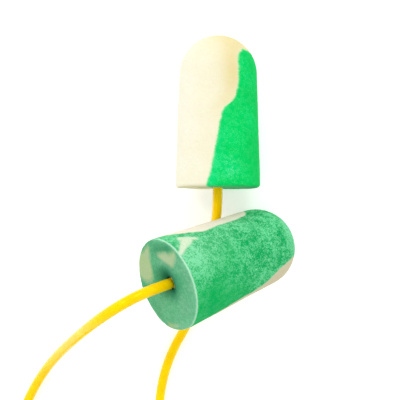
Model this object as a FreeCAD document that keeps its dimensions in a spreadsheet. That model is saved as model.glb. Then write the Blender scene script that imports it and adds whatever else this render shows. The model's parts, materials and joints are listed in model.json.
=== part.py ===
"""A pair of foam ear plugs joined by one soft vinyl cord, laid out on a table.

Units are millimetres. X and Y are the centre of the two plugs' box, and Z = 0 is the table.
The upper plug lies on its side. The lower plug leans on its dome, across the upper plug's cord.
In a plug's own frame the base face is on Z = 0 and the domed ear end points along +Z.
"""
import FreeCAD, Part

import math
import os

import Sketcher
from FreeCAD import Placement, Rotation, Vector

SIZES = {
    # foam plug
    "plug_base_radius": 6.5,
    "plug_dome_radius": 6.0,
    "plug_length": 23.4,
    "rim_round": 0.3,
    # the blind hole that the cord is glued into, and the dimple at its mouth
    "cord_hole_depth": 10.0,
    "dimple_radius": 1.9,
    "glue_wall": 0.2,
    "glue_floor": 0.5,
    # cord, and the gap inside the dimple that it bends in
    "cord_radius": 0.75,
    "bend_depth": 0.55,
    "bend_play": 0.05,
    # how the two plugs lie; the lower one's heights are counted from the top of the cord it
    # crosses: its base centre stands above that, and its dome's underside reaches below it
    "upper_base_x": -0.13,
    "upper_base_y": -2.01,
    "lower_base_x": -7.42,
    "lower_base_y": -15.31,
    "lower_base_rise": 15.61,
    "lower_dome_sink": 1.1,
    "lower_yaw": 17.0,
    # the coil that the rest of the cord is wound into
    "coil_x": -22.0,
    "coil_y": -51.0,
    "coil_mean_radius": 9.0,
    "coil_columns": 5.0,
    "coil_layers": 2.0,
    "coil_corner": 0.7,
    # the coil's twist tie: a flat band with a twisted tail
    "tie_width": 3.0,
    "tie_thickness": 0.2,
    "tie_play": 0.05,
    "tie_bearing": -100.0,
    "tail_radius": 0.5,
    "tail_length": 7.0,
}

FORMULAS = {
    "cord_hole_radius": "cord_radius + glue_wall",
    "dimple_depth": "dimple_radius - cord_hole_radius",
    "dome_height": "plug_length - plug_dome_radius",
    "stub_start": "bend_depth + cord_radius + bend_play",
    "stub_length": "cord_hole_depth - glue_floor - stub_start",
    "glue_length": "cord_hole_depth - stub_start",
    "coil_height": "coil_layers * 2 * cord_radius",
    "coil_outer": "coil_mean_radius + coil_columns * cord_radius",
    "coil_inner": "coil_mean_radius - coil_columns * cord_radius",
    "band_start": "sqrt(coil_inner ^ 2 - tie_width ^ 2 / 4) - tie_play",
    "band_opening": "coil_outer + tie_play - band_start",
    "band_headroom": "coil_height + tie_play - tie_thickness",
}

# the points that the free cord bends at, from each plug to the coil: X, Y and how high the
# cord's underside is above the table
UPPER_ROUTE = [
    (-0.15, -4.9, 5.65), (-0.5, -8.0, 3.15), (-1.2, -11.4, 1.15), (-2.0, -15.6, 0.05),
    (-3.2, -19.9, 0.0), (-5.0, -24.5, 0.0), (-7.6, -28.9, 0.0), (-9.4, -34.3, 0.0),
    (-9.9, -40.5, 0.1), (-10.0, -46.0, 1.0),
]
LOWER_ROUTE = [
    (-10.1, -15.9, 18.55), (-13.4, -17.6, 19.25), (-16.7, -20.0, 17.45), (-20.4, -23.4, 12.25),
    (-24.4, -27.3, 6.45), (-28.2, -31.6, 2.05), (-31.3, -36.4, 0.2), (-33.2, -41.5, 0.0),
    (-34.0, -46.5, 0.0),
]
# share of the shorter of two runs that the arc between them takes up
ARC_SHARE = 0.45

doc = FreeCAD.newDocument("ear_plugs")
sheet = doc.addObject("Spreadsheet::Sheet", "sizes")


def fill_sheet():
    cells = {alias: str(value) for alias, value in SIZES.items()}
    cells.update({alias: "=" + formula for alias, formula in FORMULAS.items()})
    for row, (alias, text) in enumerate(cells.items(), start=1):
        sheet.set(f"A{row}", alias)
        sheet.set(f"B{row}", text)
        sheet.setAlias(f"B{row}", alias)
    doc.recompute()


def size(alias):
    """A size from the sheet as a plain number."""
    return float(sheet.get(alias))


def bind(obj, formulas):
    """Bind properties to formulas in which each name in braces is a cell of the sheet."""
    for name, formula in formulas.items():
        obj.setExpression(name, formula.replace("{", "sizes.").replace("}", ""))


# ---- sketches -----------------------------------------------------------------------------

def new_sketch(body, name):
    """A sketch on the body's own XZ plane, whose vertical axis is the body's Z."""
    plane = next(f for f in body.Origin.OriginFeatures if f.Role == "XZ_Plane")
    sketch = body.newObject("Sketcher::SketchObject", name)
    sketch.AttachmentSupport = (plane, "")
    sketch.MapMode = "FlatFace"
    return sketch


def line(x1, z1, x2, z2):
    return Part.LineSegment(Vector(x1, z1, 0), Vector(x2, z2, 0))


def constrain(sketch, *arguments):
    return sketch.addConstraint(Sketcher.Constraint(*arguments))


def dimension(sketch, name, alias, kind, *places):
    """A named dimension, drawn at the sheet's value and bound to it."""
    index = constrain(sketch, kind, *places, size(alias))
    sketch.renameConstraint(index, name)
    bind(sketch, {f"Constraints.{name}": "{" + alias + "}"})


def chain(sketch, edges):
    """Add edges that follow each other, each joined to the next and the last to the first."""
    sketch.addGeometry(edges, False)
    for here in range(len(edges)):
        constrain(sketch, "Coincident", here, 2, (here + 1) % len(edges), 1)


def spin(body, kind, name, sketch):
    """A full turn of the sketch about its vertical axis, added or cut away."""
    feature = body.newObject(kind, name)
    feature.Profile = sketch
    feature.ReferenceAxis = (sketch, ["V_Axis"])
    feature.Angle = 360
    sketch.Visibility = False
    doc.recompute()
    return feature


# ---- foam plug ----------------------------------------------------------------------------

def plug_outline(body):
    """Half of the plug's outside: flat base, tapered side, round dome and the axis."""
    base_radius = size("plug_base_radius")
    dome_radius = size("plug_dome_radius")
    length = size("plug_length")
    dome_height = size("dome_height")
    taper = math.atan((base_radius - dome_radius) / dome_height)
    side_x = dome_radius * math.cos(taper)
    side_z = dome_height + dome_radius * math.sin(taper)
    circle = Part.Circle(Vector(0, dome_height, 0), Vector(0, 0, 1), dome_radius)
    dome = Part.ArcOfCircle(circle, taper, math.pi / 2)
    sketch = new_sketch(body, "Outline")
    chain(sketch, [
        line(0, 0, base_radius, 0),
        line(base_radius, 0, side_x, side_z),
        dome,
        line(0, length, 0, 0),
    ])
    constrain(sketch, "Coincident", 0, 1, -1, 1)
    constrain(sketch, "Horizontal", 0)
    constrain(sketch, "Vertical", 3)
    constrain(sketch, "PointOnObject", 2, 3, -2)
    constrain(sketch, "Tangent", 1, 2)
    dimension(sketch, "base_radius", "plug_base_radius", "DistanceX", 0, 1, 0, 2)
    dimension(sketch, "dome_radius", "plug_dome_radius", "Radius", 2)
    dimension(sketch, "length", "plug_length", "DistanceY", -1, 1, 2, 2)
    return sketch


def hole_outline(body):
    """Half of the blind hole: a flared dimple at the base, then a straight bore."""
    mouth = size("dimple_radius")
    bore = size("cord_hole_radius")
    flare = size("dimple_depth")
    depth = size("cord_hole_depth")
    sketch = new_sketch(body, "HoleOutline")
    chain(sketch, [
        line(0, 0, mouth, 0),
        line(mouth, 0, bore, flare),
        line(bore, flare, bore, depth),
        line(bore, depth, 0, depth),
        line(0, depth, 0, 0),
    ])
    constrain(sketch, "Coincident", 0, 1, -1, 1)
    constrain(sketch, "Horizontal", 0)
    constrain(sketch, "Vertical", 2)
    constrain(sketch, "Horizontal", 3)
    constrain(sketch, "Vertical", 4)
    dimension(sketch, "mouth", "dimple_radius", "DistanceX", 0, 1, 0, 2)
    dimension(sketch, "bore", "cord_hole_radius", "DistanceX", 3, 2, 3, 1)
    dimension(sketch, "flare", "dimple_depth", "DistanceY", 1, 1, 1, 2)
    dimension(sketch, "depth", "cord_hole_depth", "DistanceY", -1, 1, 4, 1)
    return sketch


def circle_edges(shape, radius, height):
    """Names of the shape's circular edges of this radius at this height."""
    found = []
    for number, edge in enumerate(shape.Edges, start=1):
        if edge.Degenerated or not isinstance(edge.Curve, Part.Circle):
            continue
        centre = edge.Curve.Center
        if abs(edge.Curve.Radius - radius) < 1e-4 and abs(centre.z - height) < 1e-4:
            found.append(f"Edge{number}")
    return found


def round_edges(body, base, edges, alias):
    fillet = body.newObject("PartDesign::Fillet", "Rounding")
    fillet.Base = (base, edges)
    fillet.Radius = size(alias)
    bind(fillet, {"Radius": "{" + alias + "}"})
    doc.recompute()
    return fillet


def build_foam(node, placement):
    body = doc.addObject("PartDesign::Body", node)
    outside = spin(body, "PartDesign::Revolution", "Outside", plug_outline(body))
    solid_volume = outside.Shape.Volume
    hole = spin(body, "PartDesign::Groove", "CordHole", hole_outline(body))
    if hole.Shape.Volume > solid_volume - 1:
        raise RuntimeError(f"{node}: the cord hole cut nothing")
    rim = circle_edges(hole.Shape, size("plug_base_radius"), 0)
    body.Tip = round_edges(body, hole, rim, "rim_round")
    return finish_node(body, node, placement)


# ---- the cord's glued end, inside a plug --------------------------------------------------

def new_cylinder(name, radius, height):
    cylinder = doc.addObject("Part::Cylinder", name)
    bind(cylinder, {"Radius": radius, "Height": height})
    return cylinder


def build_glued_end(which, placement):
    """The end of the cord in its hole, and the cup of glue round it."""
    seat = placement.multiply(Placement(Vector(0, 0, size("stub_start")), Rotation()))
    stub = new_cylinder(f"cord_end_{which}", "{cord_radius}", "{stub_length}")
    cup = doc.addObject("Part::Cut", f"glue_{which}")
    cup.Base = new_cylinder(f"GlueOutside_{which}", "{cord_hole_radius}", "{glue_length}")
    cup.Tool = new_cylinder(f"GlueInside_{which}", "{cord_radius}", "{stub_length}")
    return [
        finish_node(stub, f"cord_end_{which}", seat),
        finish_node(cup, f"glue_{which}", seat),
    ]


# ---- free cord ----------------------------------------------------------------------------

def cord_path(points):
    """Straight runs joined by tangent arcs, as edges, with each arc's radius and turn."""
    edges = []
    radii = []
    here = points[0]
    for before, corner, after in zip(points, points[1:], points[2:]):
        arriving = (corner - before).normalize()
        leaving = (after - corner).normalize()
        turn = arriving.getAngle(leaving)
        reach = ARC_SHARE * min((corner - before).Length, (after - corner).Length)
        radius = reach / math.tan(turn / 2)
        start = corner - arriving * reach
        end = corner + leaving * reach
        inward = (leaving - arriving).normalize()
        middle = corner + inward * (radius / math.cos(turn / 2) - radius)
        edges.append(Part.LineSegment(here, start).toShape())
        edges.append(Part.Arc(start, middle, end).toShape())
        radii.append((radius, math.degrees(turn)))
        here = end
    edges.append(Part.LineSegment(here, points[-1]).toShape())
    return edges, radii


def build_run(node, points):
    """A round tube along the points, with a rounded nose where it bends in the dimple."""
    radius = size("cord_radius")
    edges, radii = cord_path(points)
    outward = (points[1] - points[0]).normalize()
    section = Part.Wire(Part.Circle(points[0], outward, radius).toShape())
    tube = Part.Wire(edges).makePipeShell([section], True, False)
    length = sum(edge.Length for edge in edges)
    expected = math.pi * radius ** 2 * length
    print(f"{node}: {length:.1f} mm of cord, volume {tube.Volume:.2f} of {expected:.2f} mm3")
    print("  bend radius / turn:", ", ".join(f"{r:.1f}/{t:.0f}" for r, t in radii))
    if abs(tube.Volume - expected) > 0.01 * expected:
        raise RuntimeError(f"{node}: the tube's volume is not its section times its length")
    nose = Part.makeSphere(radius, points[0], outward * -1, 0, 90, 360)
    run = doc.addObject("Part::Feature", node)
    run.Shape = tube.fuse(nose).removeSplitter()
    return finish_node(run, node, Placement())


def build_coil(node):
    """The outer shape of the wound cord: a ring of rounded section, flat on the table."""
    inner = size("coil_inner")
    outer = size("coil_outer")
    height = size("coil_height")
    body = doc.addObject("PartDesign::Body", node)
    sketch = new_sketch(body, "Section")
    chain(sketch, [
        line(inner, 0, outer, 0),
        line(outer, 0, outer, height),
        line(outer, height, inner, height),
        line(inner, height, inner, 0),
    ])
    constrain(sketch, "Horizontal", 0)
    constrain(sketch, "Vertical", 1)
    constrain(sketch, "Horizontal", 2)
    constrain(sketch, "Vertical", 3)
    dimension(sketch, "inner", "coil_inner", "DistanceX", -1, 1, 0, 1)
    dimension(sketch, "outer", "coil_outer", "DistanceX", -1, 1, 0, 2)
    constrain(sketch, "PointOnObject", 0, 1, -1)
    dimension(sketch, "thickness", "coil_height", "DistanceY", 1, 1, 1, 2)
    ring = spin(body, "PartDesign::Revolution", "Ring", sketch)
    corners = []
    for radius in (inner, outer):
        for level in (0, height):
            corners += circle_edges(ring.Shape, radius, level)
    body.Tip = round_edges(body, ring, corners, "coil_corner")
    place = Placement(Vector(size("coil_x"), size("coil_y"), 0), Rotation())
    return finish_node(body, node, place)


def new_box(name, formulas):
    box = doc.addObject("Part::Box", name)
    bind(box, formulas)
    return box


def build_tie(node):
    """A flat band pinched round the coil's turns, and its twisted tail along the table."""
    outside = new_box("BandOutside", {
        "Length": "{band_opening} + 2 * {tie_thickness}",
        "Width": "{tie_width}",
        "Height": "{band_headroom} + 2 * {tie_thickness}",
        "Placement.Base.x": "{band_start} - {tie_thickness}",
        "Placement.Base.y": "-{tie_width} / 2",
    })
    opening = new_box("BandOpening", {
        "Length": "{band_opening}",
        "Width": "{tie_width}",
        "Height": "{band_headroom}",
        "Placement.Base.x": "{band_start}",
        "Placement.Base.y": "-{tie_width} / 2",
        "Placement.Base.z": "{tie_thickness}",
    })
    band = doc.addObject("Part::Cut", "Band")
    band.Base = outside
    band.Tool = opening
    tail = new_cylinder("Tail", "{tail_radius}", "{tail_length}")
    tail.Placement = Placement(Vector(), Rotation(Vector(1, 0, 0), -90))
    bind(tail, {
        "Placement.Base.x": "{band_start} + {band_opening} + {tail_radius}",
        "Placement.Base.y": "-{tie_width} / 2",
        "Placement.Base.z": "{tail_radius}",
    })
    tie = doc.addObject("Part::Fuse", node)
    tie.Base = band
    tie.Tool = tail
    turn = Rotation(Vector(0, 0, 1), size("tie_bearing"))
    place = Placement(Vector(size("coil_x"), size("coil_y"), 0), turn)
    return finish_node(tie, node, place)


# ---- assembly -----------------------------------------------------------------------------

def finish_node(obj, node, placement):
    obj.Label = node
    obj.Placement = placement
    return obj


def plug_placements():
    """The upper plug lies on its tapered side, and the lower one leans on its dome."""
    dome_radius = size("plug_dome_radius")
    dome_height = size("dome_height")
    taper = math.atan((size("plug_base_radius") - dome_radius) / dome_height)
    upper_axis = Vector(0, math.cos(taper), -math.sin(taper))
    upper_base = Vector(
        size("upper_base_x"),
        size("upper_base_y"),
        dome_radius + dome_height * math.sin(taper),
    )
    cord_top = 2 * size("cord_radius")
    lower_base = Vector(
        size("lower_base_x"),
        size("lower_base_y"),
        cord_top + size("lower_base_rise"),
    )
    dome_centre = cord_top - size("lower_dome_sink") + dome_radius
    pitch = math.asin((lower_base.z - dome_centre) / dome_height)
    yaw = math.radians(size("lower_yaw"))
    lower_axis = Vector(
        math.cos(pitch) * math.cos(yaw),
        math.cos(pitch) * math.sin(yaw),
        -math.sin(pitch),
    )
    up = Vector(0, 0, 1)
    return (
        Placement(upper_base, Rotation(up, upper_axis)),
        Placement(lower_base, Rotation(up, lower_axis)),
    )


def route(placement, between, side, height):
    """From the bend inside a plug's dimple, along the points, to the coil's edge."""
    first = placement.multVec(Vector(0, 0, size("bend_depth")))
    reach = side * (size("coil_columns") - 1) * size("cord_radius")
    winding = size("coil_mean_radius") * side + reach
    last = Vector(size("coil_x") + winding, size("coil_y"), height)
    radius = size("cord_radius")
    return [first] + [Vector(x, y, under + radius) for x, y, under in between] + [last]


def write_nodes(nodes):
    doc.recompute()
    for obj in doc.Objects:
        if any(word in obj.State for word in ("Invalid", "Error")):
            raise RuntimeError(f"{obj.Name} failed: {obj.State}")
    for node in nodes:
        if node.Shape.isNull() or not node.Shape.isValid() or len(node.Shape.Solids) != 1:
            raise RuntimeError(f"{node.Label} is not one valid solid")
    os.makedirs("parts", exist_ok=True)
    for node in nodes:
        node.Shape.exportStep(os.path.join("parts", node.Label + ".step"))
        box = node.Shape.BoundBox
        corners = f"{box.XMin:.2f} {box.YMin:.2f} {box.ZMin:.2f}"
        corners += f" to {box.XMax:.2f} {box.YMax:.2f} {box.ZMax:.2f}"
        print(f"{node.Label}: {node.Shape.Volume:.2f} mm3, {corners}")


fill_sheet()
upper_place, lower_place = plug_placements()
bottom_turns = size("cord_radius")
top_turns = bottom_turns + (size("coil_layers") - 1) * 2 * size("cord_radius")
all_nodes = [
    build_foam("plug_foam_upper", upper_place),
    build_foam("plug_foam_lower", lower_place),
    *build_glued_end("upper", upper_place),
    *build_glued_end("lower", lower_place),
    build_run("cord_run_upper", route(upper_place, UPPER_ROUTE, 1, top_turns)),
    build_run("cord_run_lower", route(lower_place, LOWER_ROUTE, -1, bottom_turns)),
    build_coil("cord_coil"),
    build_tie("cord_tie"),
]
write_nodes(all_nodes)
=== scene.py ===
import itertools
import json
import math

import bpy
import numpy as np
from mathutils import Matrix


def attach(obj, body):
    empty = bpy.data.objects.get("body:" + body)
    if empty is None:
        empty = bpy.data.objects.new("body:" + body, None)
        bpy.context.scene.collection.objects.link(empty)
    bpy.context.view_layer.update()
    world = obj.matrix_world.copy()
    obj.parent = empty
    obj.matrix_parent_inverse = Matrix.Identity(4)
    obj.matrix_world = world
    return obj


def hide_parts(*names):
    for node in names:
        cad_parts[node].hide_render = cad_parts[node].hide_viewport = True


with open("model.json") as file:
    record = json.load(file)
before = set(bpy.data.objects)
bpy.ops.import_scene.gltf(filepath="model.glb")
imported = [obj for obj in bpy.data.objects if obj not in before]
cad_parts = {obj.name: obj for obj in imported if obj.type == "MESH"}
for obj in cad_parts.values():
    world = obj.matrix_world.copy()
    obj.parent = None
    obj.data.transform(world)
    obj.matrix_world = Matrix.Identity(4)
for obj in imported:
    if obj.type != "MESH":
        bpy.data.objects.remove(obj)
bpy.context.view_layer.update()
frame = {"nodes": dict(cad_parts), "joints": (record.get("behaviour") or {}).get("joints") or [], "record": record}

# Two foam ear plugs, green marbled with cream, on the two ends of one soft yellow vinyl cord.
# Points and sizes are in metres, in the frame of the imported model. MM turns millimetres into metres.
MM = 0.001

# foam plug
BASE_RADIUS = 6.5 * MM
DOME_RADIUS = 6.0 * MM
PLUG_LENGTH = 23.4 * MM
UPPER_RIM_ROUND = 0.5 * MM
LOWER_RIM_ROUND = 0.3 * MM
HOLE_RADIUS = 0.95 * MM
HOLE_DEPTH = 10.0 * MM
DIMPLE_RADIUS = 1.9 * MM
FUNNEL_RADIUS = 2.9 * MM

# cord: its upper run, its coil and its lower run are one length of vinyl
CORD_RADIUS = 0.75 * MM
BEND_DEPTH = 0.55 * MM
# the points that each run passes, from its plug to the coil: X, Y and the height of its underside, mm
UPPER_ROUTE = [
    (-0.15, -4.9, 5.65),
    (-0.5, -8.0, 3.15),
    (-1.2, -11.4, 1.15),
    (-2.0, -15.6, 0.05),
    (-3.2, -19.9, 0.0),
    (-5.0, -24.5, 0.0),
    (-7.6, -28.9, 0.0),
    (-9.4, -34.3, 0.0),
    (-9.9, -40.5, 0.1),
    (-10.0, -46.0, 1.0),
]
LOWER_ROUTE = [
    (-10.1, -15.9, 18.55),
    (-13.4, -17.6, 19.25),
    (-16.7, -20.0, 17.45),
    (-20.4, -23.4, 12.25),
    (-24.4, -27.3, 6.45),
    (-28.2, -31.6, 2.05),
    (-31.3, -36.4, 0.2),
    (-33.2, -41.5, 0.0),
    (-34.0, -46.5, 0.0),
]
COIL_CENTRE = np.array([-22.0, -51.0]) * MM
COIL_OUTER_TURN = 12.0 * MM
COIL_INNER_TURN = 6.0 * MM
COIL_TURNS = 4
COIL_TURN_POINTS = 16

# the coil's twist tie: a band round the turns and a twisted tail beside it
TIE_BEARING = math.radians(-100.0)
TIE_WIDTH = 3.0 * MM
TIE_THICKNESS = 0.2 * MM
TIE_NEAR = 4.88 * MM
TIE_FAR = 12.9 * MM
TIE_TOP = 3.15 * MM
TAIL_RADIUS = 0.5 * MM
TAIL_LENGTH = 7.0 * MM
WIRE_RIDGE = 0.22 * MM
WIRE_WIDTH = 0.3 * MM
# the coil's layers rise a little where the band passes under them, over this angle in radians; the
# lower layer rises by both heights together
TIE_REACH = 0.3
UPPER_LAYER_LIFT = 0.05 * MM
LOWER_LAYER_LIFT = 0.15 * MM

# camera and light
CAMERA_PLACE = (-1.64 * MM, -2.62 * MM, 91.5 * MM)
CAMERA_TURN = (math.radians(-0.85), math.radians(0.84), 0.0)
CAMERA_LENS = 49.5
FLOOR_HALF_EDGE = 0.6
SURROUND_STRENGTH = 1.0
WHITE = (1.0, 1.0, 1.0, 1.0)

# foam skin: how deep its dents, grain and pits go, and how large they are
DENT_DEPTH = 0.05 * MM
DENT_SIZE = 3.0 * MM
GRAIN_DEPTH = 0.012 * MM
GRAIN_SIZE = 0.35 * MM
PIT_DEPTH = 0.035 * MM
PIT_SIZE = 0.55 * MM
FLOOR_GAP = 0.005 * MM
RING_POINTS = 340

# an arc of one radian on the plug's side is about this long, in millimetres
SIDE_RADIUS = 6.3


def colour(red, green, blue, light=1.2):
    """A colour seen as those 0 to 255 values under that much light, as the linear values a shader takes."""
    seen = np.array([red, green, blue]) / 255.0
    linear = np.where(seen > 0.04045, ((seen + 0.055) / 1.055) ** 2.4, seen / 12.92)
    return (*np.clip(linear / light, 0.0, 1.0).tolist(), 1.0)


# ---------------------------------------------------------------- materials


class Wire:
    """A socket's number, colour or vector. Arithmetic on a number adds Math nodes to its material."""

    def __init__(self, finish, socket):
        self.finish = finish
        self.socket = socket

    def math(self, operation, *values):
        node = self.finish.node("ShaderNodeMath", {"operation": operation}, dict(enumerate(values)))
        return Wire(self.finish, node.outputs[0])

    def __add__(self, other):
        return self.math("ADD", self, other)

    def __radd__(self, other):
        return self.math("ADD", other, self)

    def __sub__(self, other):
        return self.math("SUBTRACT", self, other)

    def __rsub__(self, other):
        return self.math("SUBTRACT", other, self)

    def __mul__(self, other):
        return self.math("MULTIPLY", self, other)

    def __rmul__(self, other):
        return self.math("MULTIPLY", other, self)

    def __truediv__(self, other):
        return self.math("DIVIDE", self, other)

    def __abs__(self):
        return self.math("ABSOLUTE", self)

    def between(self):
        """The number held between 0 and 1."""
        return self.math("MINIMUM", self.math("MAXIMUM", self, 0.0), 1.0)


class Finish:
    """One procedural material, built a node at a time."""

    def __init__(self, name):
        self.material = bpy.data.materials.new(name)
        self.material.use_nodes = True
        self.tree = self.material.node_tree
        self.tree.nodes.clear()
        self.place = Wire(self, self.node("ShaderNodeTexCoord").outputs["Object"])

    def node(self, kind, settings=None, inputs=None):
        """Adds a node: its settings first, then each input's value or link."""
        made = self.tree.nodes.new(kind)
        for name, value in (settings or {}).items():
            setattr(made, name, value)
        for key, value in (inputs or {}).items():
            if isinstance(value, Wire):
                self.tree.links.new(value.socket, made.inputs[key])
            else:
                made.inputs[key].default_value = value
        return made

    def attribute(self, name):
        """A number that the mesh holds at each of its points."""
        node = self.node("ShaderNodeAttribute", {"attribute_name": name})
        return Wire(self, node.outputs["Fac"])

    def noise(self, size, detail=2.0, roughness=0.5):
        """Soft noise from 0 to 1 whose lumps are about that size."""
        inputs = {"Vector": self.place, "Scale": 1.0 / size, "Detail": detail, "Roughness": roughness}
        return Wire(self, self.node("ShaderNodeTexNoise", {}, inputs).outputs["Fac"])

    def cells(self, size):
        """Distance from the nearest cell's middle, in cells of about that size."""
        inputs = {"Vector": self.place, "Scale": 1.0 / size}
        return Wire(self, self.node("ShaderNodeTexVoronoi", {}, inputs).outputs["Distance"])

    def mix(self, amount, first, second):
        """A colour between two others."""
        node = self.node("ShaderNodeMix", {"data_type": "RGBA"}, {0: amount, 6: first, 7: second})
        return Wire(self, node.outputs[2])

    def bump(self, height, depth):
        """A normal bent by a height from 0 to 1, which stands for that depth."""
        node = self.node("ShaderNodeBump", {}, {"Height": height, "Distance": depth})
        return Wire(self, node.outputs["Normal"])

    def done(self, inputs):
        """Ends the material in one Principled shader with these inputs."""
        shader = self.node("ShaderNodeBsdfPrincipled", {}, inputs)
        output = self.node("ShaderNodeOutputMaterial")
        self.tree.links.new(shader.outputs["BSDF"], output.inputs["Surface"])
        return self.material


def marbled_foam(name, tones, speckle):
    """Fine-celled foam. The mesh's marble number is cream above zero and green below, in millimetres.
    pale lightens the green, partly with paler tones of its own and partly as painted light; painted_shade
    deepens the green as painted shade; tan_and_painted_shade yellows the cream, partly its own tan and partly
    painted shade; veil lets green through it and flecks_and_painted_light adds white flecks, partly as painted
    light. cut marks the sliced base face, stain a ring of painted shade round the hole and rim a
    painted highlight along the base's rim. speckle is how strongly the cells mottle the green."""
    finish = Finish(name)
    marble = finish.attribute("marble")
    cut = finish.attribute("cut")
    stain = finish.attribute("stain")
    flecks_and_painted_light = finish.attribute("flecks_and_painted_light")
    veil = finish.attribute("veil")
    grain = finish.noise(0.19 * MM, 2.0, 0.7)
    blotch = finish.noise(0.7 * MM, 2.0, 0.6)
    drift = finish.noise(3.2 * MM, 2.0, 0.5)
    cells = finish.cells(0.42 * MM)

    wave = (grain - 0.5) * 5.0 + (blotch - 0.5) * 2.2 + (drift - 0.5) * 2.5
    mottle = (wave * speckle + 0.45).between()
    # pale lightens the green: painted light on the lower plug's sides and dome, paler tones of its own elsewhere
    pale = (finish.attribute("pale") + (drift - 0.5) * 0.5).between()
    # painted shade: this number darkens the green where shade falls
    painted_shade = (finish.attribute("painted_shade") + (0.5 - drift) * 0.5).between()
    green = finish.mix(mottle, tones["green_dark"], tones["green_mid"])
    green = finish.mix(painted_shade * 0.85, green, tones["green_painted_shade"])
    green = finish.mix(pale * (0.3 + 0.6 * mottle), green, tones["green_pale"])
    strands = (1.0 - abs(grain - 0.53) * 22.0).between() * ((blotch - 0.42) * 7.0).between()
    dots = ((0.26 - cells) * 7.0).between() * ((grain - 0.5) * 9.0).between()
    # white flecks, more of them where the lower plug's dome has painted light
    flecks = (strands * 0.6 + dots * 0.6).between() * (speckle + 0.8 * flecks_and_painted_light).between() * (1.0 - 0.65 * painted_shade)
    green = finish.mix(flecks, green, tones["fleck"])
    sliced = finish.mix(mottle * 0.6 + pale * 0.4, tones["cut_dark"], tones["cut_green"])
    # painted shade on the sliced base face as well
    sliced = finish.mix(painted_shade * 0.8, sliced, tones["cut_painted_shade"])
    green = finish.mix(cut, green, sliced)

    # the cream's tan: partly a tone of its own and partly painted shade
    tan_and_painted_shade = (finish.attribute("tan_and_painted_shade") + (drift - 0.5) * 0.3).between()
    cream = finish.mix(tan_and_painted_shade, tones["cream"], tones["cream_tan_and_shade"])
    cream = finish.mix((grain - 0.5).between() * 0.25, cream, tones["cream_tan_and_shade"])
    cream = finish.mix(veil * (0.5 + 0.7 * mottle).between(), cream, tones["green_pale"])
    cream = finish.mix(cut, cream, finish.mix(drift, tones["cut_cream"], tones["cut_beige"]))

    edge = marble + (blotch - 0.5) * 0.4 + (grain - 0.5) * 0.15
    softness = 0.2 + 0.55 * cut
    body = finish.mix((edge / softness + 0.5).between(), green, cream)
    fringe = (1.0 - abs(edge) / 0.3).between() * (1.0 - cut)
    body = finish.mix(fringe * 0.4, body, tones["fringe"])
    # painted shade: a darker ring round the hole's dimple
    body = finish.mix(stain, body, tones["stain"])
    # painted highlight: a pale line along the base's rim
    body = finish.mix(finish.attribute("rim") * 0.8, body, tones["rim"])

    pores = ((0.34 - cells) * 3.0).between() * 0.6 + grain * 0.7
    return finish.done(
        {
            "Base Color": body,
            "Roughness": (0.62 + 0.25 * grain).between(),
            "Normal": finish.bump(1.0 - pores, (0.03 + 0.05 * speckle) * MM),
            "Specular IOR Level": 0.03,
            "Subsurface Weight": 0.1,
            "Subsurface Radius": (0.3 * MM, 0.6 * MM, 0.3 * MM),
            "Subsurface Scale": 1.0,
        }
    )


def vinyl():
    """Glossy yellow vinyl that light sinks into, with small clouds in its colour and a fine scuff."""
    finish = Finish("yellow_vinyl")
    cloud = finish.noise(1.8 * MM, 2.0, 0.5)
    scuff = finish.noise(0.12 * MM, 2.0, 0.5)
    return finish.done(
        {
            "Base Color": finish.mix(cloud, colour(255, 196, 0, 1.0), colour(255, 220, 0, 1.0)),
            "Roughness": (0.08 + 0.14 * scuff).between(),
            "Normal": finish.bump(scuff, 0.003 * MM),
            "Subsurface Weight": 0.4,
            "Subsurface Radius": (0.8 * MM, 0.3 * MM, 0.02 * MM),
            "Subsurface Scale": 1.0,
            "IOR": 1.5,
            "Specular IOR Level": 0.6,
            "Specular Tint": (1.0, 0.9, 0.08, 1.0),
        }
    )


def set_glue():
    """Half-clear adhesive, slightly yellow, with a wavy wet skin."""
    finish = Finish("set_glue")
    wave = finish.noise(0.5 * MM, 2.0, 0.5)
    return finish.done(
        {
            "Base Color": finish.mix(wave, colour(205, 210, 165), colour(232, 230, 198)),
            "Roughness": (0.12 + 0.15 * wave).between(),
            "Normal": finish.bump(wave, 0.03 * MM),
            "Transmission Weight": 0.3,
        }
    )


def coated_paper():
    """Off-white coated paper, with a fine fibre and small creases."""
    finish = Finish("coated_paper")
    fibre = finish.noise(0.09 * MM, 3.0, 0.6)
    crease = finish.noise(0.7 * MM, 2.0, 0.5)
    return finish.done(
        {
            "Base Color": finish.mix(fibre, colour(222, 222, 216), colour(240, 240, 236)),
            "Roughness": (0.4 + 0.2 * fibre).between(),
            "Normal": finish.bump(fibre * 0.4 + crease * 0.6, 0.04 * MM),
        }
    )


def pale_floor():
    """A plain white studio floor that gives back a little light of its own."""
    finish = Finish("pale_floor")
    grain = finish.noise(30.0 * MM)
    return finish.done(
        {
            "Base Color": finish.mix(grain, (0.8, 0.8, 0.8, 1.0), (0.82, 0.82, 0.82, 1.0)),
            "Roughness": 0.9,
            "Emission Color": WHITE,
            "Emission Strength": 0.35,
        }
    )


# ---------------------------------------------------------------- shapes


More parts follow.
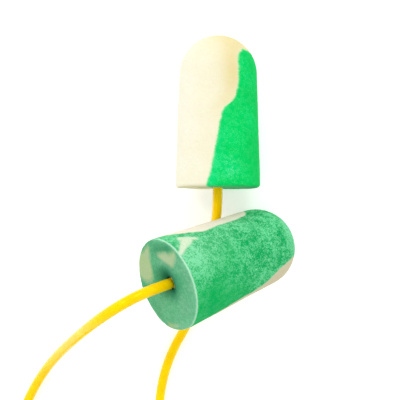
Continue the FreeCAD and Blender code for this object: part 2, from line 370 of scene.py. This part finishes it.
def grid_piece(name, rows, material, first=None, last=None, looped=False):
    """A closed mesh from an array of rings, all with the same number of points. first and last are points
    that close the ends with a fan; looped joins the last ring to the first instead."""
    count, around = rows.shape[:2]
    points = rows.reshape(-1, 3)
    step = np.arange(count if looped else count - 1)[:, None]
    turn = np.arange(around)[None, :]
    here = step * around
    after = (step + 1) % count * around
    following = (turn + 1) % around
    faces = np.stack([here + turn, here + following, after + following, after + turn], axis=-1)
    faces = faces.reshape(-1, 4).tolist()
    ring = np.arange(around)
    for tip, start, ahead in ((first, 0, 1), (last, (count - 1) * around, -1)):
        if tip is not None:
            fan = [np.full(around, len(points)), start + np.roll(ring, -ahead), start + ring]
            faces += np.stack(fan, axis=-1).tolist()
            points = np.vstack([points, tip])
    mesh = bpy.data.meshes.new(name)
    mesh.from_pydata(points.tolist(), [], faces)
    mesh.polygons.foreach_set("use_smooth", np.ones(len(mesh.polygons), dtype=bool))
    mesh.materials.append(material)
    mesh.update()
    piece = bpy.data.objects.new(name, mesh)
    bpy.context.scene.collection.objects.link(piece)
    return piece


def give(piece, **numbers):
    """Stores numbers at the mesh's points, one array each."""
    for name, values in numbers.items():
        attribute = piece.data.attributes.new(name, "FLOAT", "POINT")
        attribute.data.foreach_set("value", np.asarray(values, dtype=np.float32))


def smooth_field(points, size, seed):
    """Random field from -1 to 1: each corner of a lattice of that size has a random number, and between
    corners they blend by the smoothstep 3f^2 - 2f^3."""
    scaled = points / size
    corner = np.floor(scaled).astype(int)
    part = scaled - corner
    part = part * part * (3.0 - 2.0 * part)
    corner -= corner.min(axis=0)
    table = np.random.default_rng(seed).uniform(-1.0, 1.0, tuple(corner.max(axis=0) + 2))
    total = np.zeros(len(points))
    for offset in itertools.product((0, 1), repeat=3):
        weight = np.prod(np.where(offset, part, 1.0 - part), axis=1)
        total += weight * table[tuple((corner + offset).T)]
    return total


def pits(points, size, seed):
    """0 to 1: round dents, one at a random place in each cube of that size. A dent's depth is
    1 - (distance / half a cube)^2, and the deepest one counts."""
    scaled = points / size
    cube = np.floor(scaled).astype(int)
    low = cube.min(axis=0) - 1
    shape = tuple(cube.max(axis=0) - low + 2)
    places = np.random.default_rng(seed).uniform(0.0, 1.0, (*shape, 3))
    deepest = np.zeros(len(points))
    for offset in itertools.product((-1, 0, 1), repeat=3):
        near = cube + offset
        middle = near + places[tuple((near - low).T)]
        distance = np.linalg.norm(scaled - middle, axis=1)
        deepest = np.maximum(deepest, 1.0 - (distance / 0.5) ** 2)
    return deepest


def eased(points, values):
    """A line through a few (place, height) points: straight between them, with each corner rounded by
    averaging over a short stretch."""
    places, heights = np.array(points).T
    reach = 0.02 * (places[-1] - places[0])
    shifts = np.linspace(-reach, reach, 9)
    return np.mean([np.interp(values + shift, places, heights) for shift in shifts], axis=0)


def patch(across, along, start, end, start_width, end_width):
    """A drop-shaped patch round the line between two points: above zero inside it. Its half width goes
    from one value to the other along the line."""
    start = np.array(start)
    span = np.array(end) - start
    offset = np.stack([across, along], axis=-1) - start
    share = np.clip(offset @ span / (span @ span), 0.0, 1.0)
    distance = np.linalg.norm(offset - share[:, None] * span, axis=1)
    return start_width + (end_width - start_width) * share - distance


def hill(values, middle, width):
    """1 at the middle, falling away on both sides as a bell curve: e^-((values - middle) / width)^2."""
    return np.exp(-(((values - middle) / width) ** 2))


def lesser(first, second):
    """The lesser of two distances in millimetres, rounded off where they meet: -ln(e^-a + e^-b)."""
    return -np.logaddexp(-first, -second)


def plug_axes(base_mount, joint):
    """A plug's base centre and its three directions: sideways and level, up, and towards its dome."""
    record = frame["record"]
    mount = next(m for m in record["mounts"] if m["name"] == base_mount)
    hinge = next(j for j in frame["joints"] if j["name"] == joint)
    ahead = -np.array(mount["axis"])
    sideways = np.cross([0.0, 0.0, 1.0], ahead)
    sideways /= np.linalg.norm(sideways)
    rising = np.cross(ahead, sideways)
    centre = np.array(hinge["pos_m"]) - BEND_DEPTH * ahead
    return centre, sideways, rising, ahead


def plug_profile(rim_round):
    """Radius and distance from the base, from the hole's floor out over the base face and the rounded
    rim, along the tapered side and over the dome. The dimple round the hole is a soft funnel: its depth
    falls off as the square of the distance from its edge."""
    dimple_depth = DIMPLE_RADIUS - HOLE_RADIUS
    funnel = np.linspace(0.0, 1.0, 16)
    dome_start = PLUG_LENGTH - DOME_RADIUS
    rise = np.linspace(0.0, math.pi / 2, 7)
    dome = np.linspace(0.0, math.pi / 2, 74)[1:-1]
    flat = BASE_RADIUS - rim_round
    stretches = [
        (np.linspace(0.3, 1.0, 3) * HOLE_RADIUS, np.full(3, HOLE_DEPTH)),
        (np.full(8, HOLE_RADIUS), np.linspace(HOLE_DEPTH - 0.1 * MM, dimple_depth + 0.1 * MM, 8)),
        (HOLE_RADIUS + (FUNNEL_RADIUS - HOLE_RADIUS) * funnel, dimple_depth * (1.0 - funnel) ** 2),
        (np.linspace(FUNNEL_RADIUS, flat, 32)[1:-1], np.zeros(30)),
        (flat + rim_round * np.sin(rise), rim_round * (1.0 - np.cos(rise))),
        (np.linspace(BASE_RADIUS, DOME_RADIUS, 134)[1:-1], np.linspace(rim_round, dome_start, 134)[1:-1]),
        (DOME_RADIUS * np.cos(dome), dome_start + DOME_RADIUS * np.sin(dome)),
    ]
    radius = np.concatenate([stretch[0] for stretch in stretches])
    along = np.concatenate([stretch[1] for stretch in stretches])
    return radius, along


def foam_plug(name, axes, rim_round, material, marbling, seed):
    """The profile turned about the plug's axis: a point is centre + r cos(a) sideways + r sin(a) rising
    + d ahead. Its skin is then moved along its normal by fine pits, a fine grain and slow dents."""
    centre, sideways, rising, ahead = axes
    radius, along = plug_profile(rim_round)
    angle = np.linspace(0.0, 2.0 * math.pi, RING_POINTS, endpoint=False)
    slope_radius = np.gradient(radius)
    slope_along = np.gradient(along)
    slope = np.hypot(slope_radius, slope_along)
    out_radius = (slope_along / slope)[:, None]
    out_along = (-slope_radius / slope)[:, None]
    skin = (radius > DIMPLE_RADIUS)[:, None] | (along > HOLE_DEPTH + 0.5 * MM)[:, None]

    def placed(ring_radius, ring_along):
        left = ring_radius * np.cos(angle)
        up = ring_radius * np.sin(angle)
        return np.stack([left, up, ring_along + 0.0 * angle], axis=-1)

    local = placed(radius[:, None], along[:, None])
    flat = local.reshape(-1, 3)
    depth = DENT_DEPTH * smooth_field(flat, DENT_SIZE, seed)
    depth += GRAIN_DEPTH * smooth_field(flat, GRAIN_SIZE, seed + 1)
    depth -= PIT_DEPTH * pits(flat, PIT_SIZE, seed + 2)
    depth = np.where(skin, depth.reshape(local.shape[:2]), 0.0)
    local = placed(radius[:, None] + depth * out_radius, along[:, None] + depth * out_along)
    rows = centre + local @ np.stack([sideways, rising, ahead])
    rows[..., 2] = np.maximum(rows[..., 2], FLOOR_GAP)
    floor = centre + HOLE_DEPTH * ahead
    tip = centre + PLUG_LENGTH * ahead
    piece = grid_piece(name, rows, material, first=floor, last=tip)

    ends = np.array([[0.0, 0.0, HOLE_DEPTH], [0.0, 0.0, PLUG_LENGTH]])
    left, up, far = (np.vstack([local.reshape(-1, 3), ends]) / MM).T
    out = np.hypot(left, up)
    cut = ((far < 0.1) | (out < FUNNEL_RADIUS / MM) & (far < HOLE_DEPTH / MM + 0.1)) * 1.0
    # painted shade: a darker ring round the hole, heaviest beside the cord's exit, where the dimple lies in shade
    beside_cord = np.hypot(left - 0.3, up - 0.7)
    stain = np.clip(1.25 - (beside_cord - HOLE_RADIUS / MM) / 1.9, 0.0, 1.0) ** 1.3 * cut * 0.9
    drift = 0.45 * smooth_field(np.stack([left, up, far], axis=-1), 2.2, seed + 3)
    give(piece, cut=cut, stain=stain, **marbling(left, up, far, cut, drift))
    return piece


def upper_marbling(left, up, far, cut, drift):
    """Cream on the left and green on the right of a seam that climbs from the base towards the dome's
    right side. Below the plug the seam sways, and the dome's tip is all cream. Millimetres."""
    right = -left
    seam = [(0, -1.8), (3.8, -0.8), (8.8, 0.0), (10.8, 0.45), (11.6, 0.9), (12.1, 1.8), (12.9, 2.5)]
    seam = eased(seam + [(14.4, 2.8), (16.2, 2.9), (18.2, 2.65), (19.4, 2.65), (20.4, 3.1)], far)
    under = np.clip(0.5 - up / 12.4, 0.0, 1.0)
    sway = under * 2.2 * np.sin(0.35 * far + 0.7)
    crown_edge = 20.5 + 1.5 * np.clip(-up / 5.0, 0.0, 1.0) * np.cos(0.8 * right + 0.6)
    marble = np.maximum(seam + sway + 0.2 * drift - right, far - crown_edge)
    beside = hill(right - seam, -0.9, 1.5)
    height = hill(far, 16.5, 5.0)
    crown = np.clip((far - 18.0) / 5.0, 0.0, 1.0) * np.clip(0.8 + right / 5.0, 0.0, 1.0)
    # partly painted shade: the cream tanner beside the seam half-way up, at the dome's tip and towards the right
    # side
    tan_and_painted_shade = 0.22 + 0.5 * beside * height + 0.45 * crown + 0.22 * np.clip((right + 1.0) / 5.0, -1.0, 1.0)
    flecks_and_painted_light = hill(right, 1.7, 1.378) * hill(far, 2.6, 1.378)
    edge = hill(right - seam, 0.0, 1.3) * np.clip(1.2 - far / 12.0, 0.0, 1.0)
    pale = np.clip(0.7 * flecks_and_painted_light + 0.75 * edge, 0.0, 1.0)
    # painted shade: the green darker towards the plug's right side
    painted_shade = np.clip((right - 3.0) / 3.0, 0.0, 1.0) * 0.6
    none = np.zeros(len(far))
    return {
        "marble": marble,
        "tan_and_painted_shade": tan_and_painted_shade,
        "pale": pale,
        "painted_shade": painted_shade,
        "flecks_and_painted_light": flecks_and_painted_light,
        "veil": none,
        "rim": none,
    }


def lower_marbling(left, up, far, cut, drift):
    """Mostly green. A cream band runs along one side, a small wedge lies beside its start and a cream lobe, made
    beige with painted shade, covers the far side's dome end. The base face has its own wedges. Millimetres and
    degrees."""
    angle = np.degrees(np.arctan2(up, left))
    arc = np.radians(angle) * SIDE_RADIUS
    band_edge = eased([(0, -4), (3.8, 19), (6.5, 31), (10, 27), (13, 28), (15.4, 24), (17.2, 2)], far)
    band_start = -74.0 + 10.0 * np.sin(0.38 * far + 1.0) + 6.0 * np.sin(0.97 * far + 2.4)
    band = np.minimum(np.radians(band_edge - angle), np.radians(angle - band_start)) * SIDE_RADIUS
    band_end = 20.0 + 0.8 * np.sin(np.radians(4.0 * angle + 30.0))
    band = lesser(band, band_end - far)
    wedge = patch(far, arc, (0.5, 5.8), (2.9, 4.0), 0.35, 0.85)
    wedge = np.maximum(wedge, patch(far, arc, (2.4, 3.4), (4.2, 4.2), 0.55, 0.3))
    lobe_edge = eased([(0, 168), (3, 161), (8, 151), (12, 147), (14.4, 137), (16.2, 125), (19, 118)], far)
    around = angle % 360.0
    lobe_end = 214.0 + 13.0 * np.sin(0.33 * far) + 7.0 * np.sin(0.88 * far + 0.6)
    lobe = np.minimum(np.radians(around - lobe_edge), np.radians(lobe_end - around)) * SIDE_RADIUS
    lobe = lesser(lobe, 21.0 - far + 0.9 * np.cos(np.radians(3.0 * around)))
    side = np.maximum(np.maximum(band, wedge), lobe) + 0.25 * drift
    face = patch(left, up, (5.2, -1.9), (2.6, -4.2), 0.8, 1.9)
    face = np.maximum(face, patch(left, up, (4.2, 0.4), (3.1, 3.0), 0.25, 0.85))
    face = np.maximum(face, patch(left, up, (3.1, 3.0), (4.0, 4.3), 0.85, 0.5))
    face = np.maximum(face, patch(left, up, (-5.8, -2.0), (-5.8, -0.3), 0.3, 0.35))
    marble = np.where(cut > 0.5, face + drift, side)

    # painted shade: a darker arc near the top of the base face, and on the side a darker patch near the base and a
    # darker band part way along
    top_arc_shade = patch(left, up, (5.0, 0.6), (4.9, 3.2), 1.2, 1.0)
    shade_near_base = hill(angle, 138.0, 30.0) * hill(far, 0.0, 7.5)
    middle = 0.6 * hill(angle, 78.0, 20.0) * hill(far, 6.5, 4.0)
    painted_shade = np.where(cut > 0.5, top_arc_shade, shade_near_base * 3.2 + middle)
    # painted light: the green lighter on the upper side, near the base and further along
    flecks_and_painted_light = 0.9 * hill(angle, 52.0, 26.0) * hill(far, 3.0, 5.0)
    flecks_and_painted_light += 0.35 * hill(angle, 35.0, 14.0) * hill(far, 12.0, 5.0)
    # painted light: a whitish glow over the far end of the dome on its upper side
    dome = 0.8 * hill(angle, 85.0, 55.0) * np.clip((far - 18.5) / 3.0, 0.0, 1.0)
    low_face = np.clip(-left / 6.0, 0.0, 1.0)
    # On the side pale is painted light; on the base face it lightens towards one edge.
    pale = np.where(cut > 0.5, low_face, flecks_and_painted_light + dome)
    # painted shade: the cream beige on one side, from 100 to 260 degrees round, where the lobe lies
    tan_and_painted_shade = 0.15 + 0.85 * ((around > 100.0) & (around < 260.0))
    veil = 0.5 * np.clip(1.0 + wedge / 0.4, 0.0, 1.0)
    # painted highlight: a pale line along the rounded rim on its upper side, where the edge catches light
    rim = hill(far, 0.2, 0.11) * np.clip((up + 1.5) / 3.0, 0.0, 1.0)
    rim = rim * (np.hypot(left, up) > FUNNEL_RADIUS / MM)
    pale = np.clip(pale, 0.0, 1.0)
    painted_shade = np.clip(painted_shade, 0.0, 1.0)
    return {
        "marble": marble,
        "tan_and_painted_shade": tan_and_painted_shade,
        "pale": pale,
        "painted_shade": painted_shade,
        "flecks_and_painted_light": dome,
        "veil": veil,
        "rim": rim,
    }


def cord_points():
    """The cord's whole route, from the upper plug to the lower one: down and along the table, round the
    coil, and back up. The coil winds in on its upper layer and out again on the layer below."""
    upper_end = next(j for j in frame["joints"] if j["name"] == "upper_plug_swing")["pos_m"]
    lower_end = next(j for j in frame["joints"] if j["name"] == "lower_plug_nod")["pos_m"]
    lift = np.array([0.0, 0.0, CORD_RADIUS])
    out_run = np.array(UPPER_ROUTE) * MM + lift
    back_run = np.array(LOWER_ROUTE[::-1]) * MM + lift

    turns = COIL_TURNS * COIL_TURN_POINTS
    half = COIL_TURN_POINTS // 2
    step = np.arange(2 * turns + half + 1)
    inward = np.clip(step / turns, 0.0, 1.0)
    outward = np.clip((step - turns - half) / turns, 0.0, 1.0)
    sinking = np.clip((step - turns) / half, 0.0, 1.0)
    radius = COIL_OUTER_TURN + (COIL_INNER_TURN - COIL_OUTER_TURN) * (inward - outward)
    radius = radius / math.cos(math.pi / COIL_TURN_POINTS)
    angle = -2.0 * math.pi * step / COIL_TURN_POINTS
    height = CORD_RADIUS * (3.0 - 2.0 * sinking)
    from_tie = np.angle(np.exp(1j * (angle - TIE_BEARING)))
    under_band = hill(from_tie, 0.0, TIE_REACH)
    height = height + under_band * (UPPER_LAYER_LIFT + LOWER_LAYER_LIFT * sinking)
    x = COIL_CENTRE[0] + radius * np.cos(angle)
    y = COIL_CENTRE[1] + radius * np.sin(angle)
    coil = np.stack([x, y, height], axis=-1)
    return np.vstack([[upper_end], out_run, coil, back_run, [lower_end]])


def spline_line(points):
    """The points along one smooth open NURBS spline whose control points these are."""
    curve = bpy.data.curves.new("cord_route", "CURVE")
    curve.dimensions = "3D"
    spline = curve.splines.new("NURBS")
    spline.points.add(len(points) - 1)
    weighted = np.hstack([points, np.ones((len(points), 1))])
    spline.points.foreach_set("co", weighted.ravel())
    spline.order_u = 3
    spline.use_endpoint_u = True
    spline.resolution_u = 10
    route = bpy.data.objects.new("cord_route", curve)
    mesh = bpy.data.meshes.new_from_object(route)
    line = np.empty(len(mesh.vertices) * 3)
    mesh.vertices.foreach_get("co", line)
    bpy.data.meshes.remove(mesh)
    bpy.data.objects.remove(route)
    bpy.data.curves.remove(curve)
    return line.reshape(-1, 3)


def cord_tube(material):
    """A round tube along the cord's line: each ring stands across the line, turned so that its first
    point is level with it, and each end is half a ball."""
    line = spline_line(cord_points())
    ahead = np.gradient(line, axis=0)
    ahead /= np.linalg.norm(ahead, axis=1)[:, None]
    sideways = np.cross([0.0, 0.0, 1.0], ahead)
    sideways /= np.linalg.norm(sideways, axis=1)[:, None]
    rising = np.cross(ahead, sideways)
    radius = np.full(len(line), CORD_RADIUS)

    cap = np.linspace(math.pi / 2, 0.0, 9)[1:-1]
    reach = CORD_RADIUS * np.sin(cap)[:, None]
    start = line[0] - reach * ahead[0]
    end = line[-1] + reach[::-1] * ahead[-1]
    middle = np.vstack([start, line, end])
    radius = np.concatenate([CORD_RADIUS * np.cos(cap), radius, CORD_RADIUS * np.cos(cap)[::-1]])
    row = np.clip(np.arange(len(middle)) - len(cap), 0, len(line) - 1)
    angle = np.linspace(0.0, 2.0 * math.pi, 24, endpoint=False)
    across = np.cos(angle)[None, :, None] * sideways[row][:, None, :]
    across = across + np.sin(angle)[None, :, None] * rising[row][:, None, :]
    rows = middle[:, None, :] + radius[:, None, None] * across
    first = line[0] - CORD_RADIUS * ahead[0]
    last = line[-1] + CORD_RADIUS * ahead[-1]
    return grid_piece("vinyl_cord", rows, material, first=first, last=last), line


def tie_place(out, along, height):
    """Points of the tie: out from the coil's middle at the tie's bearing, along the coil and up."""
    ray = np.array([math.cos(TIE_BEARING), math.sin(TIE_BEARING)])
    turn = np.array([-ray[1], ray[0]])
    x = COIL_CENTRE[0] + out * ray[0] + along * turn[0]
    y = COIL_CENTRE[1] + out * ray[1] + along * turn[1]
    return np.stack([x, y, np.maximum(height, 0.0)], axis=-1)


def tie_band(material):
    """A flat strip with a wire's ridge along its middle, carried round a rounded box about the turns.
    The box is a superellipse |x|^n + |z|^n = 1."""
    loop = np.linspace(0.0, 2.0 * math.pi, 160, endpoint=False)
    power = 2.0 / 7.0
    half_out = (TIE_FAR - TIE_NEAR) / 2.0
    half_up = (TIE_TOP - TIE_THICKNESS / 2.0) / 2.0
    box_out = half_out * np.sign(np.cos(loop)) * np.abs(np.cos(loop)) ** power
    box_up = half_up * np.sign(np.sin(loop)) * np.abs(np.sin(loop)) ** power
    step = np.stack([np.roll(box_out, -1) - np.roll(box_out, 1), np.roll(box_up, -1) - np.roll(box_up, 1)])
    step /= np.linalg.norm(step, axis=0)
    section = np.linspace(2.0 * math.pi, 0.0, 32, endpoint=False)
    width = TIE_WIDTH / 2.0 * np.sign(np.cos(section)) * np.abs(np.cos(section)) ** 0.5
    thick = TIE_THICKNESS / 2.0 * np.sign(np.sin(section)) * np.abs(np.sin(section)) ** 0.5
    ridge = WIRE_RIDGE * hill(width, 0.0, WIRE_WIDTH) * (thick > 0.0)
    proud = (thick + ridge)[None, :]
    out = (TIE_NEAR + TIE_FAR) / 2.0 + box_out[:, None] + proud * step[1][:, None]
    height = (TIE_TOP + TIE_THICKNESS / 2.0) / 2.0 + box_up[:, None] - proud * step[0][:, None]
    wander = 0.12 * MM * np.sin(3.0 * loop)[:, None]
    rows = tie_place(out, width[None, :] + wander, height)
    return grid_piece("tie_band", rows, material, looped=True)


def tie_tail(material):
    """The strip's two ends twisted together: a two-lobed section, (1 + 0.55 cos 2a) wide, that turns
    as it goes along and flattens out towards its cut end."""
    share = np.linspace(0.0, 1.0, 150)[:, None]
    angle = np.linspace(2.0 * math.pi, 0.0, 32, endpoint=False)[None, :]
    twist = 7.0 * math.pi * np.minimum(share, 0.85)
    lobes = TAIL_RADIUS * (0.6 + 0.38 * np.cos(2.0 * angle))
    ends = np.clip(np.minimum(share, 1.0 - share) / 0.02, 0.35, 1.0)
    out = TIE_FAR + 0.4 * MM + lobes * ends * np.cos(angle + twist)
    height = TAIL_RADIUS + lobes * ends * np.sin(angle + twist)
    along = -TIE_WIDTH / 2.0 + TAIL_LENGTH * share + 0.0 * angle
    rows = tie_place(out, along, height)
    return grid_piece("tie_tail", rows, material, first=rows[0].mean(axis=0), last=rows[-1].mean(axis=0))


# ---------------------------------------------------------------- camera, floor and light


def camera():
    """Looks almost straight down on the two plugs."""
    data = bpy.data.cameras.new("camera")
    data.lens = CAMERA_LENS
    data.clip_start = 1.0 * MM
    view = bpy.data.objects.new("camera", data)
    view.location = CAMERA_PLACE
    view.rotation_euler = CAMERA_TURN
    bpy.context.scene.collection.objects.link(view)
    bpy.context.scene.camera = view


def soft_light(name, place, target, size, power):
    """A square studio light at a place, turned to face a target."""
    data = bpy.data.lights.new(name, "AREA")
    data.size = size
    data.energy = power
    light = bpy.data.objects.new(name, data)
    light.location = place
    facing = np.array(place) - np.array(target)
    flat = math.hypot(facing[0], facing[1])
    light.rotation_euler = (math.atan2(flat, facing[2]), 0.0, math.atan2(facing[0], -facing[1]))
    bpy.context.scene.collection.objects.link(light)


def studio():
    """A pale floor, an even white surround and two soft lights."""
    edge = FLOOR_HALF_EDGE
    mesh = bpy.data.meshes.new("floor")
    corners = [(-edge, -edge, 0.0), (edge, -edge, 0.0), (edge, edge, 0.0), (-edge, edge, 0.0)]
    mesh.from_pydata(corners, [], [(0, 1, 2, 3)])
    mesh.materials.append(pale_floor())
    floor = bpy.data.objects.new("floor", mesh)
    bpy.context.scene.collection.objects.link(floor)
    world = bpy.data.worlds.new("surround")
    world.use_nodes = True
    background = world.node_tree.nodes["Background"]
    background.inputs["Color"].default_value = WHITE
    background.inputs["Strength"].default_value = SURROUND_STRENGTH
    bpy.context.scene.world = world
    soft_light("key", (0.05, 0.2, 0.28), (0.0, 0.0, 0.0), 0.12, 0.24)
    soft_light("side", (-0.137, 0.103, 0.246), (0.0, -0.01, 0.0), 0.05, 0.1)
    bpy.context.scene.view_settings.view_transform = "Standard"


# ---------------------------------------------------------------- the plugs and their cord

UPPER_TONES = {
    "green_dark": colour(0, 205, 92),
    "green_mid": colour(0, 228, 112),
    # painted shade colour of the green
    "green_painted_shade": colour(0, 198, 88),
    # lighter green: used for painted light and for green seen through the cream
    "green_pale": colour(30, 240, 155),
    "fleck": colour(165, 248, 205),
    "cream": colour(251, 248, 227),
    # tan of the cream, also used as its painted shade
    "cream_tan_and_shade": colour(236, 220, 155),
    "fringe": colour(190, 240, 195),
    "cut_dark": colour(60, 190, 120),
    "cut_green": colour(110, 215, 150),
    # painted shade colour of the sliced face
    "cut_painted_shade": colour(50, 160, 105),
    "cut_cream": colour(235, 235, 200),
    "cut_beige": colour(225, 222, 185),
    # painted shade colour round the hole
    "stain": colour(60, 150, 105),
    # painted highlight colour along the base's rim
    "rim": colour(220, 245, 220),
}

LOWER_TONES = {
    "green_dark": colour(10, 168, 90),
    "green_mid": colour(100, 220, 150),
    # painted shade colour of the green
    "green_painted_shade": colour(0, 182, 90),
    # lighter green: used for painted light and for green seen through the cream
    "green_pale": colour(140, 228, 175),
    "fleck": colour(160, 240, 192),
    "cream": colour(255, 246, 228),
    # tan of the cream, also used as its painted shade
    "cream_tan_and_shade": colour(216, 206, 172),
    "fringe": colour(150, 215, 170),
    "cut_dark": colour(80, 172, 122),
    "cut_green": colour(120, 200, 152),
    # painted shade colour of the sliced face
    "cut_painted_shade": colour(55, 150, 100),
    "cut_cream": colour(172, 206, 140),
    "cut_beige": colour(182, 200, 170),
    # painted shade colour round the hole
    "stain": colour(25, 118, 90),
    # painted highlight colour along the base's rim
    "rim": colour(205, 245, 220),
}

camera()
studio()

vinyl_finish = vinyl()
paper_finish = coated_paper()
glue_finish = set_glue()

cord, cord_line = cord_tube(vinyl_finish)
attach(cord, "cord")
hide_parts("cord_run_upper", "cord_run_lower", "cord_coil")

tie_pieces = [tie_band(paper_finish), tie_tail(paper_finish)]
for piece in tie_pieces:
    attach(piece, "cord")
    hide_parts("cord_tie")

for which, joint, tones, speckle, rim_round, marbling, seed in (
    ("upper", "upper_plug_swing", UPPER_TONES, 0.3, UPPER_RIM_ROUND, upper_marbling, 11),
    ("lower", "lower_plug_nod", LOWER_TONES, 1.0, LOWER_RIM_ROUND, lower_marbling, 23),
):
    foam = marbled_foam(f"marbled_foam_{which}", tones, speckle)
    axes = plug_axes(f"{which}_base", joint)
    plug = foam_plug(f"foam_{which}", axes, rim_round, foam, marbling, seed)
    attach(plug, f"{which}_plug")
    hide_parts(f"plug_foam_{which}")
    for node, finish in ((f"glue_{which}", glue_finish), (f"cord_end_{which}", vinyl_finish)):
        for slot in frame["nodes"][node].material_slots:
            slot.material = finish
